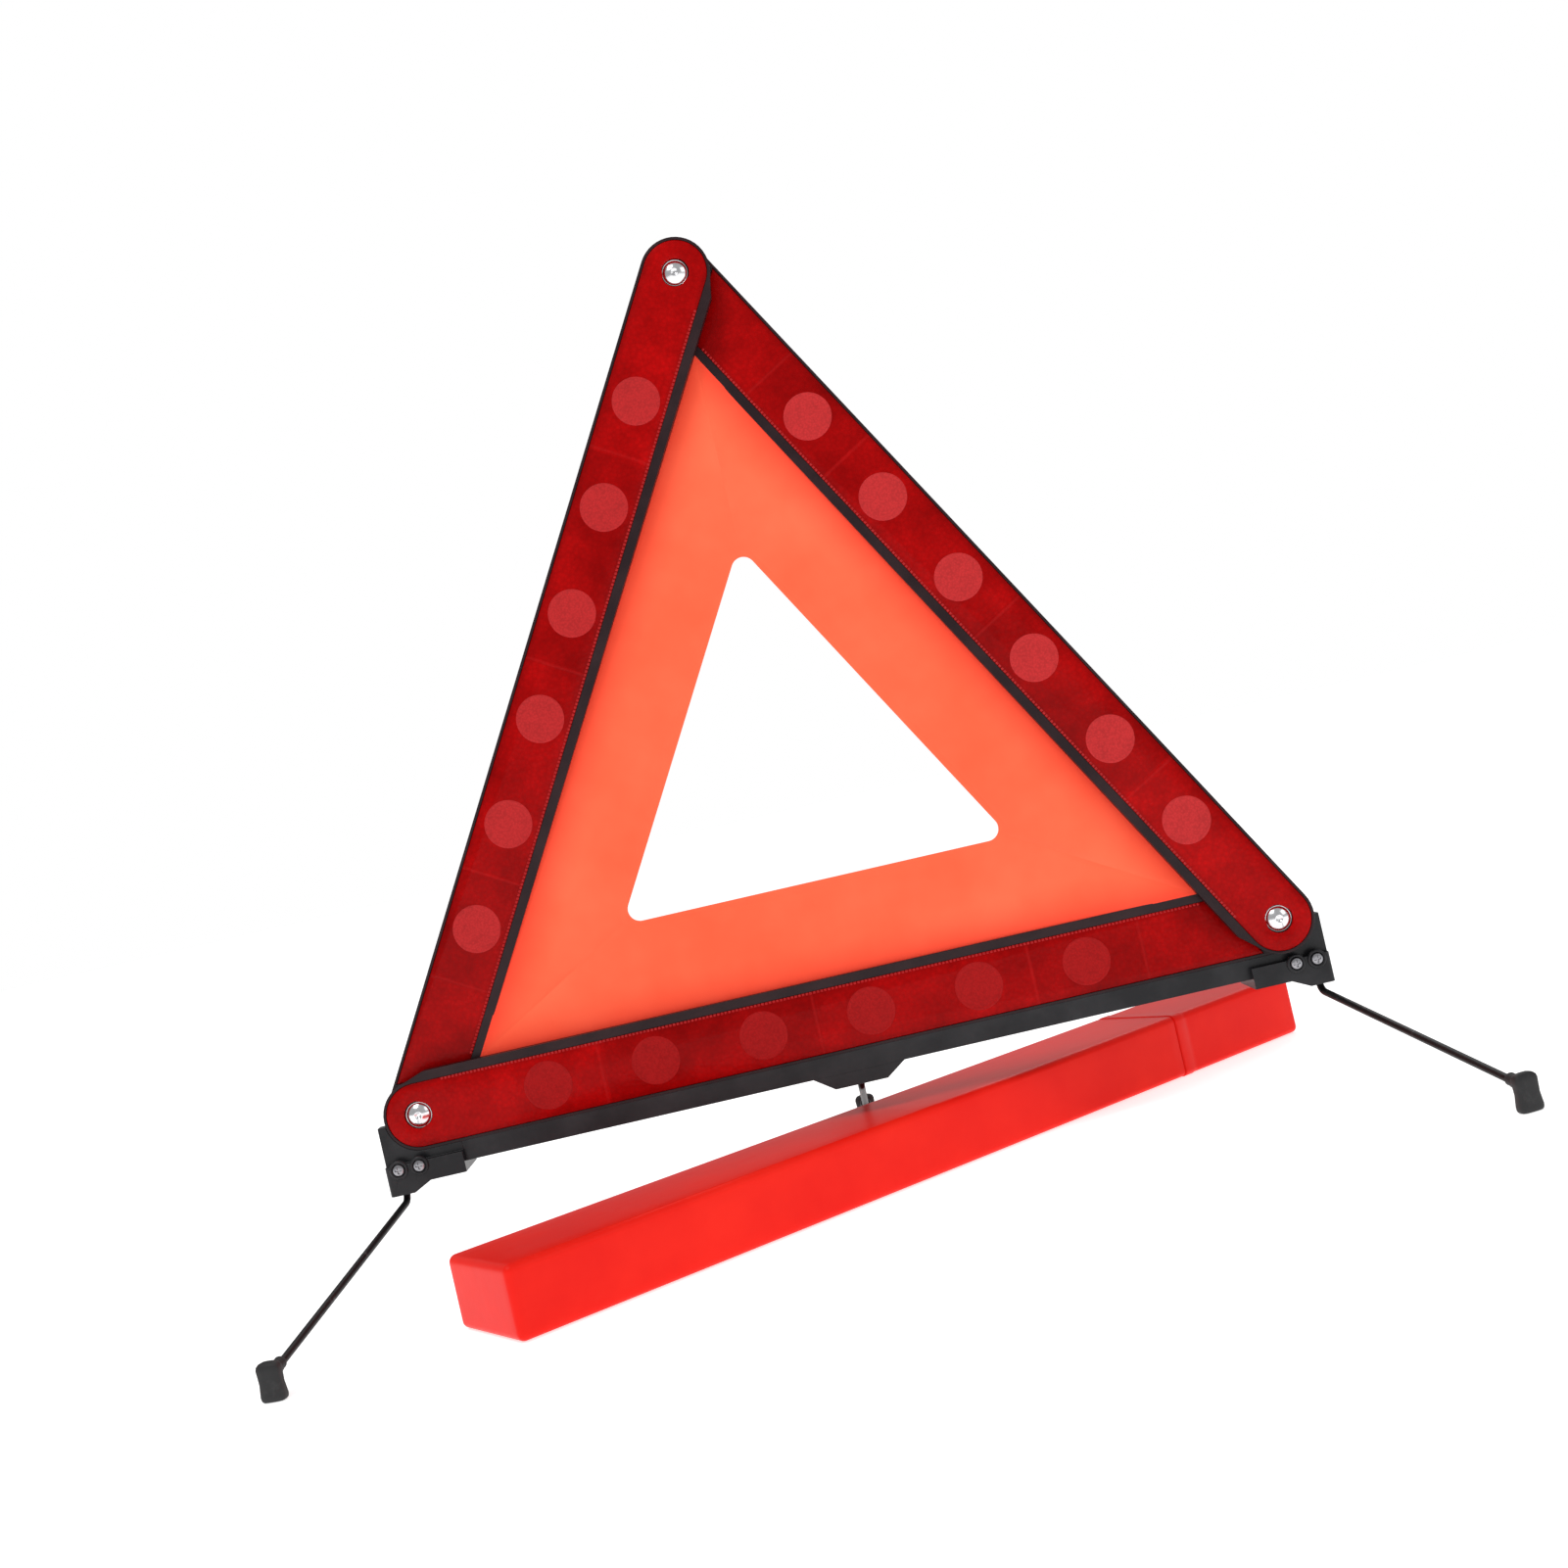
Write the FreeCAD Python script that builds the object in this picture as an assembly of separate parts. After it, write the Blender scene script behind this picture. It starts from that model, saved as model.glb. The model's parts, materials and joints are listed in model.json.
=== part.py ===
"""Folding warning triangle with its storage case, as separate named pieces.

Millimetres, +Z up. The viewer of the reflecting side stands at -Y. The origin is on the ground, under the
middle of the triangle's base bar.
"""

import FreeCAD, Part
import math
import os

from FreeCAD import Placement, Rotation, Vector

# Driving dimensions of the triangle
PIVOT_SPAN = 395.0       # rivet to rivet, the same along all three arms
PIVOT_HEIGHT = 75.0      # the two lower rivets above the ground
ARM_THICK = 6.0
ARM_GAP = 1.6            # air between two arms where they overlap at a rivet
LENS_HALF = 14.5         # half the width of the reflecting strip
OUTER_EDGE = 15.7        # arm's outer edge from the rivet line
INNER_EDGE = 18.7        # inner flange's edge from the rivet line
LENS_THICK = 2.0
POCKET_DEPTH = 2.2
DISC_COUNT = 6
DISC_FIRST = 60.0        # first reflex disc from the front rivet
DISC_PITCH = 49.6
DISC_R = 11.0
DISC_THICK = 0.6
RIB_BAYS = 9
BAY_DEPTH = 2.2
BAY_HALF = 12.0
RIB_THICK = 2.0

# Rivets and running fits
RIVET_R = 2.4
RIVET_HEAD_R = 5.8
RIVET_HEAD_HIGH = 2.8
HEAD_LIFT = 0.2          # the head stands this far off the pocket's floor, because the arm leans
TAIL_R = 4.5
TAIL_THICK = 1.1
TAIL_SINK = 1.8          # depth of the counterbore that hides the tail
TAIL_BORE_R = 5.2
RUN_CLEAR = 0.06
SOCKET_R = 4.2
WASHER_R = 5.0
WASHER_THICK = 0.8

# Fluorescent panel
PANEL_OUTER = 18.95      # its outer edge from the rivet line
HOLE_OFFSET = 62.3       # its opening's edge from the rivet line
HOLE_CORNER_R = 5.5
PANEL_THICK = 0.8
MITRE_GAP = 0.3

# Base bar, all heights taken down from the rivet line
RAIL_DROP = 24.7
SHELF_THICK = 3.2
END_DROP = 33.0
END_STEP_DROP = 29.0
END_TOP_DROP = 2.0
END_SHELF_DROP = 19.6
BRACKET_DROP = 31.0
END_OUTBOARD = 19.3      # end block's outer face beyond the rivet
END_INBOARD = 16.5
BASE_FRONT = -7.0        # front face of the end blocks' lower part
BASE_REAR = 21.0
BRACKET_TOP_HALF = 21.0
BRACKET_FOOT_HALF = 12.0

# Legs: sprung steel wire with a moulded foot
WIRE_R = 1.6
WIRE_BEND_R = 5.0
BUSH_R = 2.6
LEG_X = 211.0            # front leg's swivel from the middle
LEG_Y = 0.0
FRONT_FOOT = Vector(242.0, -138.0, 9.5)
PROP_Y = 14.0            # rear prop's swivel behind the bar's middle plane
REAR_FOOT = Vector(0.0, 138.0, 9.5)
STUB_UP = 10.0
STUB_DOWN = 3.5
PROP_STUB_UP = 8.0
FOOT_LONG = 6.0
FOOT_WIDE = 10.5
FOOT_HIGH = 15.0

# Storage case
CASE_LONG = 455.0
CASE_WIDE = 54.0
CASE_HIGH = 30.0
CASE_WALL = 1.8
CASE_CAP = 86.0
CASE_SPIGOT = 14.0
CASE_EDGE_R = 3.2
CASE_TURN = 35.0
CASE_CORNER = Vector(-147.0, -142.0, 0.0)
SPIGOT_CLEAR = 0.1

# Worked out from the driving dimensions
HALF_SPAN = PIVOT_SPAN / 2
HALF_THICK = ARM_THICK / 2
STEP = ARM_THICK + ARM_GAP
HEAD_SEAT = POCKET_DEPTH - HALF_THICK - STEP / 2 - HEAD_LIFT
TAIL_FLOOR = STEP / 2 + HALF_THICK - TAIL_SINK
INRADIUS = PIVOT_SPAN / (2 * math.sqrt(3))
LEAN = math.asin(STEP / PIVOT_SPAN)
X_AXIS, Y_AXIS, Z_AXIS = Vector(1, 0, 0), Vector(0, 1, 0), Vector(0, 0, 1)

# The arms overlap in a ring, so each leans by LEAN against the mean plane of the triangle
MEAN_NORMAL = Vector(math.sin(LEAN), math.cos(LEAN), 0)
CENTRE = Vector(0, 0, PIVOT_HEIGHT + INRADIUS)
THIRD_TURN = 120.0
BOTTOM_ARM = Placement(Vector(-HALF_SPAN, 0, PIVOT_HEIGHT), Rotation())
RIGHT_ARM = Placement(Vector(), Rotation(MEAN_NORMAL, -THIRD_TURN), CENTRE).multiply(BOTTOM_ARM)
LEFT_ARM = Placement(Vector(), Rotation(MEAN_NORMAL, -2 * THIRD_TURN), CENTRE).multiply(BOTTOM_ARM)
FRONT_PIVOT = Vector(0, 0, 0)
BACK_PIVOT = Vector(PIVOT_SPAN, 0, 0)
HALF_TURN = Rotation(Y_AXIS, 180)


def folding_axis(turn):
    """The axis, pointing to the rear, and the angle of a turn in degrees, clockwise from the front."""
    axis, angle = turn.Axis, math.degrees(turn.Angle)
    if axis.dot(Y_AXIS) < 0:
        axis, angle = -axis, 360 - angle
    return axis, angle % 360


def meeting_point(front_arm, back_arm):
    """The middle of the gap where a front arm's near end covers a back arm's far end."""
    return (front_arm.multVec(FRONT_PIVOT) + back_arm.multVec(BACK_PIVOT)) * 0.5


# Folded, every arm lies parallel to the bottom arm: the turn that brings it there fixes its rivet's axis
LEFT_AXIS, FOLD_ANGLE = folding_axis(HALF_TURN.multiply(LEFT_ARM.Rotation.inverted()))
TOP_AXIS, TOP_ANGLE = folding_axis(
    LEFT_ARM.Rotation.multiply(HALF_TURN).multiply(RIGHT_ARM.Rotation.inverted()))
LEFT_POINT = meeting_point(BOTTOM_ARM, LEFT_ARM)
TOP_POINT = meeting_point(LEFT_ARM, RIGHT_ARM)
CATCH_POINT = meeting_point(RIGHT_ARM, BOTTOM_ARM)


def save(node, *solids):
    """Write one node's solids to its STEP file."""
    shape = solids[0] if len(solids) == 1 else Part.makeCompound(list(solids))
    assert shape.isValid(), node
    shape.exportStep(f"parts/{node}.step")


def placed(shape, place):
    """A copy of a shape, moved into the part's frame."""
    copy = shape.copy()
    copy.Placement = place
    return copy


def prism(points, low, high):
    """A straight prism on a polygon of (x, z) points, from y = low to y = high."""
    corners = [Vector(x, low, z) for x, z in points]
    face = Part.Face(Part.makePolygon(corners + corners[:1]))
    return face.extrude(Vector(0, high - low, 0))


def block(low, high):
    """A box between two corners, given as x, y, z triples."""
    size = [b - a for a, b in zip(low, high)]
    return Part.makeBox(*size, Vector(*low))


def disc(x, z, radius, low, high):
    """A cylinder along y."""
    return Part.makeCylinder(radius, high - low, Vector(x, low, z), Y_AXIS)


def pin(centre, axis, radius, low, high):
    """A cylinder along any axis, between two distances from its centre."""
    return Part.makeCylinder(radius, high - low, centre + axis * low, axis)


def arm_outline(low, high):
    """The arm seen from the front: a capsule about the rivet line, with a flange along its inner side."""
    body = block((0, low, -OUTER_EDGE), (PIVOT_SPAN, high, OUTER_EDGE))
    ends = [disc(x, 0, OUTER_EDGE, low, high) for x in (0, PIVOT_SPAN)]
    taper = 12.0
    flange = prism([(-OUTER_EDGE / 2, OUTER_EDGE * math.sqrt(0.75)), (taper / 2, INNER_EDGE),
                    (PIVOT_SPAN - taper, INNER_EDGE), (PIVOT_SPAN, OUTER_EDGE), (PIVOT_SPAN / 2, 0)],
                   low, high)
    return body.multiFuse(ends + [flange]).removeSplitter()


def lens_outline(half, low, high):
    """The reflecting strip: round at the front rivet, cut along the next arm's edge at the other end."""
    slope = math.tan(math.radians(60))
    reach = PIVOT_SPAN - LENS_HALF / math.sin(math.radians(60)) - 2 * (LENS_HALF - half)
    strip = prism([(0, -half), (reach + half / slope, -half), (reach - half / slope, half), (0, half)],
                  low, high)
    return strip.fuse(disc(0, 0, half, low, high)).removeSplitter()


def disc_places():
    """Where the reflex discs sit along the arm."""
    return [DISC_FIRST + k * DISC_PITCH for k in range(DISC_COUNT)]


def arm_frame():
    """The black moulded channel: a pocket for the strip in front and ribbed bays behind."""
    floor = POCKET_DEPTH - HALF_THICK
    frame = arm_outline(-HALF_THICK, HALF_THICK)
    cuts = [lens_outline(LENS_HALF, -HALF_THICK, floor)]
    cuts += [disc(x, 0, DISC_R, floor, floor + DISC_THICK) for x in disc_places()]
    first, last = 16.0, PIVOT_SPAN - 16.0
    bay = (last - first) / RIB_BAYS
    for k in range(RIB_BAYS):
        start = first + k * bay + RIB_THICK / 2
        cuts.append(block((start, HALF_THICK - BAY_DEPTH, -BAY_HALF),
                          (start + bay - RIB_THICK, HALF_THICK, BAY_HALF)))
    return frame.cut(cuts)


def arm_lens():
    """The red reflecting strip, a hair smaller than its pocket."""
    front = POCKET_DEPTH - HALF_THICK - LENS_THICK
    return lens_outline(LENS_HALF - 0.1, front, front + LENS_THICK)


def arm_discs():
    """The reflex discs, let into the pocket's floor behind the strip."""
    floor = POCKET_DEPTH - HALF_THICK
    return [disc(x, 0, DISC_R - 0.1, floor, floor + DISC_THICK) for x in disc_places()]


def save_arm(name, place, bores, head_bore):
    """Write one arm's frame, strip and discs, bored along the rivets' own axes."""
    frame = placed(arm_frame(), place).cut(bores)
    lens = placed(arm_lens(), place).cut(head_bore)
    save(f"{name}_arm_frame", frame)
    save(f"{name}_arm_lens", lens)
    save(f"{name}_arm_discs", *[placed(d, place) for d in arm_discs()])


def rivet_head(centre, axis):
    """A domed head that stands out to the front, with the dimple of a tubular rivet."""
    cap_r = (RIVET_HEAD_R ** 2 + RIVET_HEAD_HIGH ** 2) / (2 * RIVET_HEAD_HIGH)
    ball = Part.makeSphere(cap_r, centre + axis * (cap_r - RIVET_HEAD_HIGH + HEAD_SEAT))
    head = ball.common(pin(centre, axis, RIVET_HEAD_R + 1, HEAD_SEAT - 2 * RIVET_HEAD_HIGH, HEAD_SEAT))
    dimple = Part.makeSphere(1.6, centre + axis * (HEAD_SEAT - RIVET_HEAD_HIGH - 0.6))
    return head.cut(dimple)


def rivet(centre, axis):
    """A tubular rivet through two arms, its flared tail sunk in the rear one."""
    tail = TAIL_FLOOR + 0.35
    shank = pin(centre, axis, RIVET_R, HEAD_SEAT, tail + TAIL_THICK)
    flare = pin(centre, axis, TAIL_R, tail, tail + TAIL_THICK)
    return rivet_head(centre, axis).multiFuse([shank, flare]).removeSplitter()


def washer(centre, axis):
    """The nylon washer between two arms."""
    low = -ARM_GAP / 2 + 0.15
    ring = pin(centre, axis, WASHER_R, low, low + WASHER_THICK)
    return ring.cut(pin(centre, axis, RIVET_R, low, low + WASHER_THICK))


def save_arms():
    """The three arms, their two rivets and the catch at the lower right corner."""
    far = 2 * STEP
    catch_axis = RIGHT_ARM.Rotation.multVec(Y_AXIS)
    corners = {"left": (LEFT_POINT, LEFT_AXIS), "top": (TOP_POINT, TOP_AXIS),
               "catch": (CATCH_POINT, catch_axis)}
    fixed = {k: pin(*at, RIVET_R, -far, 0) for k, at in corners.items()}
    loose = {k: pin(*at, RIVET_R + RUN_CLEAR, 0, far).fuse(pin(*at, TAIL_BORE_R, TAIL_FLOOR, far))
             for k, at in corners.items()}
    heads = {k: pin(*at, RIVET_HEAD_R + 0.5, -far, 0) for k, at in corners.items()}
    socket_bore = pin(CATCH_POINT, Y_AXIS, SOCKET_R, 0, far)
    save_arm("bottom", BOTTOM_ARM, [fixed["left"], socket_bore], heads["left"])
    save_arm("left", LEFT_ARM, [fixed["top"], loose["left"]], heads["top"])
    save_arm("right", RIGHT_ARM, [fixed["catch"], loose["top"]], heads["catch"])
    for name in ("left", "top"):
        save(f"rivet_{name}", rivet(*corners[name]))
        save(f"washer_{name}", washer(*corners[name]))
    stud = rivet_head(CATCH_POINT, catch_axis).fuse(
        pin(CATCH_POINT, catch_axis, RIVET_R, HEAD_SEAT, 0.1 - ARM_GAP / 2))
    save("catch_stud", stud.removeSplitter())
    low, high = ARM_GAP / 2 + 0.5, STEP / 2 + HALF_THICK
    socket = pin(CATCH_POINT, Y_AXIS, SOCKET_R, low, high).cut(
        pin(CATCH_POINT, Y_AXIS, RIVET_R + 0.2, low, high))
    slit = block((-0.6, low, -SOCKET_R), (0.6, high, SOCKET_R))
    slit.translate(CATCH_POINT)
    save("catch_socket", socket.cut(slit))


def rounded_triangle(inradius, corner_r, low, high):
    """An upright equilateral prism about the y axis with round corners."""
    core = inradius - corner_r
    corners = []
    for k in range(3):
        angle = math.radians(90 + k * THIRD_TURN)
        corners.append((2 * core * math.cos(angle), 2 * core * math.sin(angle)))
    pieces = [disc(x, z, corner_r, low, high) for x, z in corners]
    for k in range(3):
        (x0, z0), (x1, z1) = corners[k], corners[k - 1]
        long = math.hypot(x1 - x0, z1 - z0)
        nx, nz = (z1 - z0) / long * corner_r, (x0 - x1) / long * corner_r
        pieces.append(prism([(x0 + nx, z0 + nz), (x1 + nx, z1 + nz), (x1 - nx, z1 - nz),
                             (x0 - nx, z0 - nz)], low, high))
    pieces.append(prism(corners, low, high))
    return pieces[0].multiFuse(pieces[1:]).removeSplitter()


def save_panels():
    """Three strips of the fluorescent sheet, one sewn to each arm, mitred at the corners."""
    low, high = -PANEL_THICK / 2, PANEL_THICK / 2
    outer = INRADIUS - PANEL_OUTER
    hole = rounded_triangle(INRADIUS - HOLE_OFFSET, HOLE_CORNER_R, low - 1, high + 1)
    lift = MITRE_GAP
    half = (outer - lift) * math.sqrt(3)
    sector = prism([(-half, -outer), (half, -outer), (0, -lift)], low, high).cut(hole)
    upright = Rotation(Z_AXIS, -math.degrees(LEAN))
    for k, name in enumerate(("bottom", "right", "left")):
        turn = Rotation(MEAN_NORMAL, -k * THIRD_TURN)
        save(f"panel_{name}", placed(sector, Placement(CENTRE, turn.multiply(upright))))


def stow_axis(outward, stowed):
    """The swivel axis nearest the vertical that turns a leg's standing direction onto its stowed one."""
    across = outward - stowed
    axis = Z_AXIS - across * (Z_AXIS.dot(across) / across.dot(across))
    return axis.normalize()


def leg_directions(swivel, foot):
    """A leg's standing direction from the end of its stub, found with the stub's own axis."""
    stowed = Vector(-1, 0, 0)
    axis = Z_AXIS
    for _ in range(6):
        start = swivel - axis * STUB_DOWN
        outward = (foot - start).normalize()
        axis = stow_axis(outward, stowed)
    return axis, outward


def leg_wire(swivel, axis, outward, foot, stub_up):
    """A bent wire: a stub in the block, one bend, and the straight run to the foot."""
    top = swivel + axis * stub_up
    corner = swivel - axis * STUB_DOWN
    turn = axis.negative().getAngle(outward)
    trim = WIRE_BEND_R * math.tan(turn / 2)
    trim = min(trim, STUB_DOWN + stub_up - 1)
    into, away = corner + axis * trim, corner + outward * trim
    towards = (axis + outward).normalize()
    bend_r = trim / math.tan(turn / 2)
    centre = corner + towards * (bend_r / math.cos(turn / 2))
    middle = centre - towards * bend_r
    path = Part.Wire([Part.LineSegment(top, into).toShape(), Part.Arc(into, middle, away).toShape(),
                      Part.LineSegment(away, foot).toShape()])
    section = Part.Wire([Part.Circle(top, axis, WIRE_R).toShape()])
    return path.makePipeShell([section], True, False)


def leg_foot(outward, foot):
    """The moulded foot: an upright paddle across the wire, standing on the ground."""
    along = Vector(outward.x, outward.y, 0).normalize()
    body = Part.makeBox(FOOT_LONG, FOOT_WIDE, FOOT_HIGH, Vector(-FOOT_LONG / 2, -FOOT_WIDE / 2, 0))
    upright = [e for e in body.Edges if abs(e.tangentAt(e.FirstParameter).z) > 0.9]
    body = body.makeFillet(1.5, upright)
    rim = [e for e in body.Edges if e.BoundBox.ZMin > FOOT_HIGH - 0.01]
    body = body.makeChamfer(1.2, rim)
    turn = math.degrees(math.atan2(along.y, along.x))
    spot = Vector(foot.x, foot.y, 0) + along * (FOOT_LONG / 2 - 1)
    return placed(body, Placement(spot, Rotation(Z_AXIS, turn)))


def mirrored(shape):
    """The left-hand twin of a right-hand shape."""
    return shape.mirror(Vector(), X_AXIS)


RIGHT_SWIVEL = Vector(LEG_X, LEG_Y, PIVOT_HEIGHT - END_DROP)
REAR_SWIVEL = Vector(0, PROP_Y, PIVOT_HEIGHT - BRACKET_DROP)
RIGHT_LEG_AXIS, RIGHT_LEG_OUT = leg_directions(RIGHT_SWIVEL, FRONT_FOOT)
REAR_LEG_AXIS, REAR_LEG_OUT = leg_directions(REAR_SWIVEL, REAR_FOOT)


def bush(swivel, axis, long):
    """The nylon bush that a leg's stub turns in."""
    ring = pin(swivel, axis, BUSH_R, 0.3, long)
    return ring.cut(pin(swivel, axis, WIRE_R + RUN_CLEAR, 0, long + 1))


def save_legs():
    """Two front legs, alike and opposite, and the prop behind the bar's middle."""
    wire = leg_wire(RIGHT_SWIVEL, RIGHT_LEG_AXIS, RIGHT_LEG_OUT, FRONT_FOOT, STUB_UP)
    foot = leg_foot(RIGHT_LEG_OUT, FRONT_FOOT)
    sleeve = bush(RIGHT_SWIVEL, RIGHT_LEG_AXIS, STUB_UP)
    save("front_right_wire", wire)
    save("front_left_wire", mirrored(wire))
    save("front_right_foot", foot.cut(wire))
    save("front_left_foot", mirrored(foot.cut(wire)))
    save("leg_bush_right", sleeve)
    save("leg_bush_left", mirrored(sleeve))
    prop = leg_wire(REAR_SWIVEL, REAR_LEG_AXIS, REAR_LEG_OUT, REAR_FOOT, PROP_STUB_UP)
    save("rear_prop_wire", prop)
    save("rear_prop_foot", leg_foot(REAR_LEG_OUT, REAR_FOOT).cut(prop))
    save("leg_bush_rear", bush(REAR_SWIVEL, REAR_LEG_AXIS, BRACKET_DROP - RAIL_DROP - 0.6))


def base_end():
    """The right end block: a foot under the rivet and an ear that wraps the arm's round end."""
    floor, step = PIVOT_HEIGHT - END_DROP, PIVOT_HEIGHT - END_STEP_DROP
    shelf, top = PIVOT_HEIGHT - END_SHELF_DROP, PIVOT_HEIGHT - END_TOP_DROP
    inner, outer = HALF_SPAN - END_INBOARD, HALF_SPAN + END_OUTBOARD
    rise = 8.0
    lower = prism([(outer, floor), (HALF_SPAN + rise, floor), (HALF_SPAN, step), (inner, step),
                   (inner, shelf), (outer, shelf)], BASE_FRONT, BASE_REAR)
    ear = block((inner, -HALF_THICK, shelf), (outer, HALF_THICK, top))
    seat = OUTER_EDGE + 0.1
    ear = ear.cut([disc(HALF_SPAN, PIVOT_HEIGHT, seat, -ARM_THICK, ARM_THICK),
                   block((0, -ARM_THICK, PIVOT_HEIGHT - seat), (HALF_SPAN, ARM_THICK, top))])
    body = lower.fuse(ear).removeSplitter()
    corner = [e for e in body.Edges if abs(e.BoundBox.XMin - outer) < 0.01
              and abs(e.BoundBox.XMax - outer) < 0.01 and e.BoundBox.YLength < 0.01
              and e.BoundBox.ZLength > 5 and abs(e.BoundBox.YMin - BASE_FRONT) < 0.01]
    return body.makeFillet(2.0, corner)


def screw_places():
    """Two screws in the front of each end block, at (x, z) of the right block."""
    height = PIVOT_HEIGHT - 21.5
    return [(HALF_SPAN + 3.5, height), (HALF_SPAN + 13.0, height)]


def screw(x, z, front):
    """A pan-head screw driven to the rear."""
    head = disc(x, z, 2.6, front - 1.6, front)
    rim = [e for e in head.Edges if abs(e.BoundBox.YMax - front + 1.6) < 0.01]
    return head.makeFillet(0.8, rim).fuse(disc(x, z, 1.2, front, front + 2.6)).removeSplitter()


def base_rail():
    """The bar between the end blocks: a web under the bottom arm and a shelf for the folded arms."""
    low, seat = PIVOT_HEIGHT - RAIL_DROP, PIVOT_HEIGHT - OUTER_EDGE - 0.05
    inner = HALF_SPAN - END_INBOARD
    web = block((-inner, -HALF_THICK, low), (inner, HALF_THICK, seat))
    shelf = block((-inner, 0, low), (inner, BASE_REAR, low + SHELF_THICK))
    lip = block((-inner, BASE_REAR - 1.8, low), (inner, BASE_REAR, PIVOT_HEIGHT - END_SHELF_DROP))
    rail = web.multiFuse([shelf, lip]).removeSplitter()
    return rail.cut(pin(REAR_SWIVEL, REAR_LEG_AXIS, WIRE_R + RUN_CLEAR, -1, PROP_STUB_UP + 0.5))


def save_base():
    """The bar that carries the triangle: rail, end blocks, prop bracket and screws."""
    save("base_rail", base_rail())
    holes = [disc(x, z, 1.2, BASE_FRONT, BASE_FRONT + 2.6) for x, z in screw_places()]
    bore = pin(RIGHT_SWIVEL, RIGHT_LEG_AXIS, BUSH_R, -2, STUB_UP)
    block_right = base_end().cut(holes + [bore, pin(RIGHT_SWIVEL, RIGHT_LEG_AXIS, WIRE_R + RUN_CLEAR,
                                                    -2, STUB_UP + 0.6)])
    save("base_end_right", block_right)
    save("base_end_left", mirrored(block_right))
    screws = [screw(x, z, BASE_FRONT) for x, z in screw_places()]
    save("end_screws_right", *screws)
    save("end_screws_left", *[mirrored(s) for s in screws])
    low, high = PIVOT_HEIGHT - BRACKET_DROP, PIVOT_HEIGHT - RAIL_DROP
    bracket = prism([(-BRACKET_TOP_HALF, high), (BRACKET_TOP_HALF, high), (BRACKET_FOOT_HALF, low),
                     (-BRACKET_FOOT_HALF, low)], -HALF_THICK, BASE_REAR)
    save("prop_bracket", bracket.cut(pin(REAR_SWIVEL, REAR_LEG_AXIS, BUSH_R, -2, 2 * PROP_STUB_UP)))


def case_shell(start, end, inset, wall, closed_low, closed_high):
    """A rounded box tube along the case, closed at either end or neither."""
    outer = block((start, inset, inset), (end, CASE_WIDE - inset, CASE_HIGH - inset))
    long_edges = [e for e in outer.Edges if e.BoundBox.XLength > end - start - 0.01]
    ends = [e for e in outer.Edges if (closed_low and e.BoundBox.XMax < start + 0.01)
            or (closed_high and e.BoundBox.XMin > end - 0.01)]
    outer = outer.makeFillet(CASE_EDGE_R - inset / 2, long_edges + ends)
    hollow = block((start + (wall if closed_low else -1), inset + wall, inset + wall),
                   (end - (wall if closed_high else -1), CASE_WIDE - inset - wall,
                    CASE_HIGH - inset - wall))
    return outer.cut(hollow.makeFillet(1.6, [e for e in hollow.Edges if e.BoundBox.XLength > 5]))


def save_case():
    """The red storage case: a long sleeve, closed at its left end, and the cap that plugs its mouth."""
    place = Placement(CASE_CORNER, Rotation(Z_AXIS, CASE_TURN))
    mouth = CASE_LONG - CASE_CAP
    sleeve = case_shell(0, mouth, 0, CASE_WALL, True, False)
    cap = case_shell(mouth + 0.4, CASE_LONG, 0, CASE_WALL, False, True)
    inset = CASE_WALL + SPIGOT_CLEAR
    spigot = case_shell(mouth - CASE_SPIGOT, mouth + 8, inset, 1.4, False, False)
    save("case_sleeve", placed(sleeve, place))
    save("case_cap", placed(cap.fuse(spigot).removeSplitter(), place))


def main():
    """Build and write every piece."""
    os.makedirs("parts", exist_ok=True)
    save_arms()
    save_panels()
    save_base()
    save_legs()
    save_case()


main()
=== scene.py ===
"""Looks of a folding warning triangle with its storage case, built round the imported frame.

Metres and +Z up, as in the frame. The viewer of the reflecting side stands at -Y. Sizes in the classes are in
millimetres, and MM turns them into metres. Each sub-assembly is a class that makes its own meshes.
"""

from __future__ import annotations

import json
import logging
import math
from dataclasses import dataclass
from enum import Enum
from functools import cached_property
from typing import Any, Iterable, Union

import bmesh
import bpy
import numpy as np
from mathutils import Matrix, Vector

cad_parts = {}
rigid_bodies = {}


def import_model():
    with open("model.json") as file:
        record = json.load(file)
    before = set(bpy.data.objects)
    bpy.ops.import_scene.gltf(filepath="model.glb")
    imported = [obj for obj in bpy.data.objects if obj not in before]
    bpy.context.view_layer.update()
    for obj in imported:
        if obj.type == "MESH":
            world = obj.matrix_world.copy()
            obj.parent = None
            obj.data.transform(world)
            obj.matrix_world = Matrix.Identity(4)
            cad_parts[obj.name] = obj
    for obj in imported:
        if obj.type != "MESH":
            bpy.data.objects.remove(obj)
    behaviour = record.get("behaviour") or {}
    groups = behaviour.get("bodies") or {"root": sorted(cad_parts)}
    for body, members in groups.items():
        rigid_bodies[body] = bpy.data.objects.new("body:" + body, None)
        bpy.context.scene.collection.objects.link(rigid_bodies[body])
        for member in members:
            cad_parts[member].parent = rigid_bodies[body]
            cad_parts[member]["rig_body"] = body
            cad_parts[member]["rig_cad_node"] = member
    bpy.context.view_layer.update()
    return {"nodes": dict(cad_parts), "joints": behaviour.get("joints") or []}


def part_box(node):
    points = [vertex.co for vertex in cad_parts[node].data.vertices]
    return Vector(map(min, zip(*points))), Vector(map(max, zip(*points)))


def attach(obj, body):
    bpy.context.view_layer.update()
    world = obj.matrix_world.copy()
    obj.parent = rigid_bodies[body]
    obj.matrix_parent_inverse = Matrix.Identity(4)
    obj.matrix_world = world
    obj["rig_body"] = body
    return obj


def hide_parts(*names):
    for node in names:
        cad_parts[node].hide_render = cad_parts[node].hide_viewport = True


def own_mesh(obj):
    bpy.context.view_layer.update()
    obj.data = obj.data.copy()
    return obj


MM = 0.001
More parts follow.
